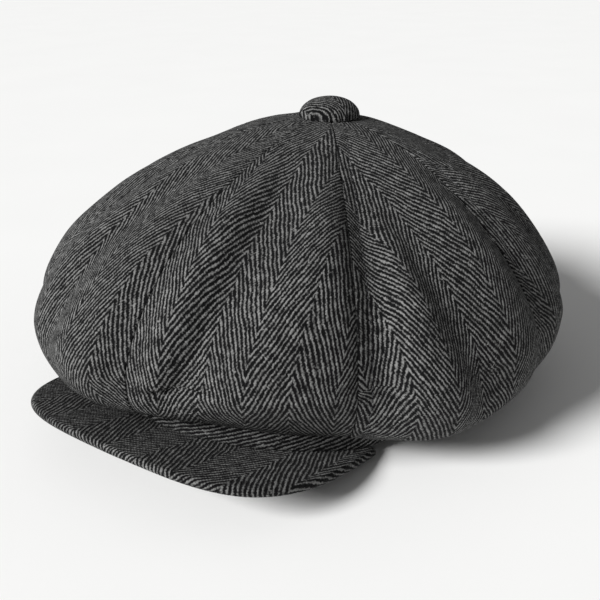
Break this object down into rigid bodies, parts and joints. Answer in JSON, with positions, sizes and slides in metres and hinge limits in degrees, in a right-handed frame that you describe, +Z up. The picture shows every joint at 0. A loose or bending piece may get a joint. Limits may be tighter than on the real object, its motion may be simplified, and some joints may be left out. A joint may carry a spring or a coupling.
{
  "type": "newsboy cap",
  "caption": "Newsboy cap with a full panelled crown, a covered button, a narrow head band, a stiff arched visor that bends down, a lining and a sweatband.",
  "frame": {"origin": "centre of the head opening, at the level of the head band's bottom edge", "axes": "+Z up through the crown, -Y towards the visor, +X towards the wearer's left"},
  "size_m": [0.2588, 0.2754, 0.1379],
  "materials": {
    "tweed": "matte herringbone wool tweed",
    "lining": "satin",
    "sweatband": "matte ribbed cotton",
    "stiffener": "matte canvas",
    "board": "matte",
    "button_metal": "brushed",
    "thread": "matte twisted thread",
    "label": "satin woven tape"
  },
  "bodies": {
    "crown": {"crown_panel_1": "tweed", "crown_panel_2": "tweed", "crown_panel_3": "tweed", "crown_panel_4": "tweed", "crown_panel_5": "tweed", "crown_panel_6": "tweed", "crown_panel_7": "tweed", "crown_panel_8": "tweed", "button_cover": "tweed", "button_shell": "button_metal", "button_back": "button_metal", "button_thread": "thread", "head_band_front": "tweed", "head_band_back": "tweed", "band_stiffener": "stiffener", "sweatband": "sweatband", "lining_gore_1": "lining", "lining_gore_2": "lining", "lining_gore_3": "lining", "lining_gore_4": "lining", "lining_gore_5": "lining", "lining_gore_6": "lining", "lining_gore_7": "lining", "lining_gore_8": "lining", "lining_label": "label"},
    "visor": {"visor_board": "board", "visor_top": "tweed", "visor_under": "tweed"}
  },
  "joints": [
    {"name": "visor_tilt", "type": "hinge", "parent": "crown", "child": "visor", "pos_m": [0, -0.0577, 0], "axis": [1, 0, 0], "range_deg": [0, 12]}
  ]
}
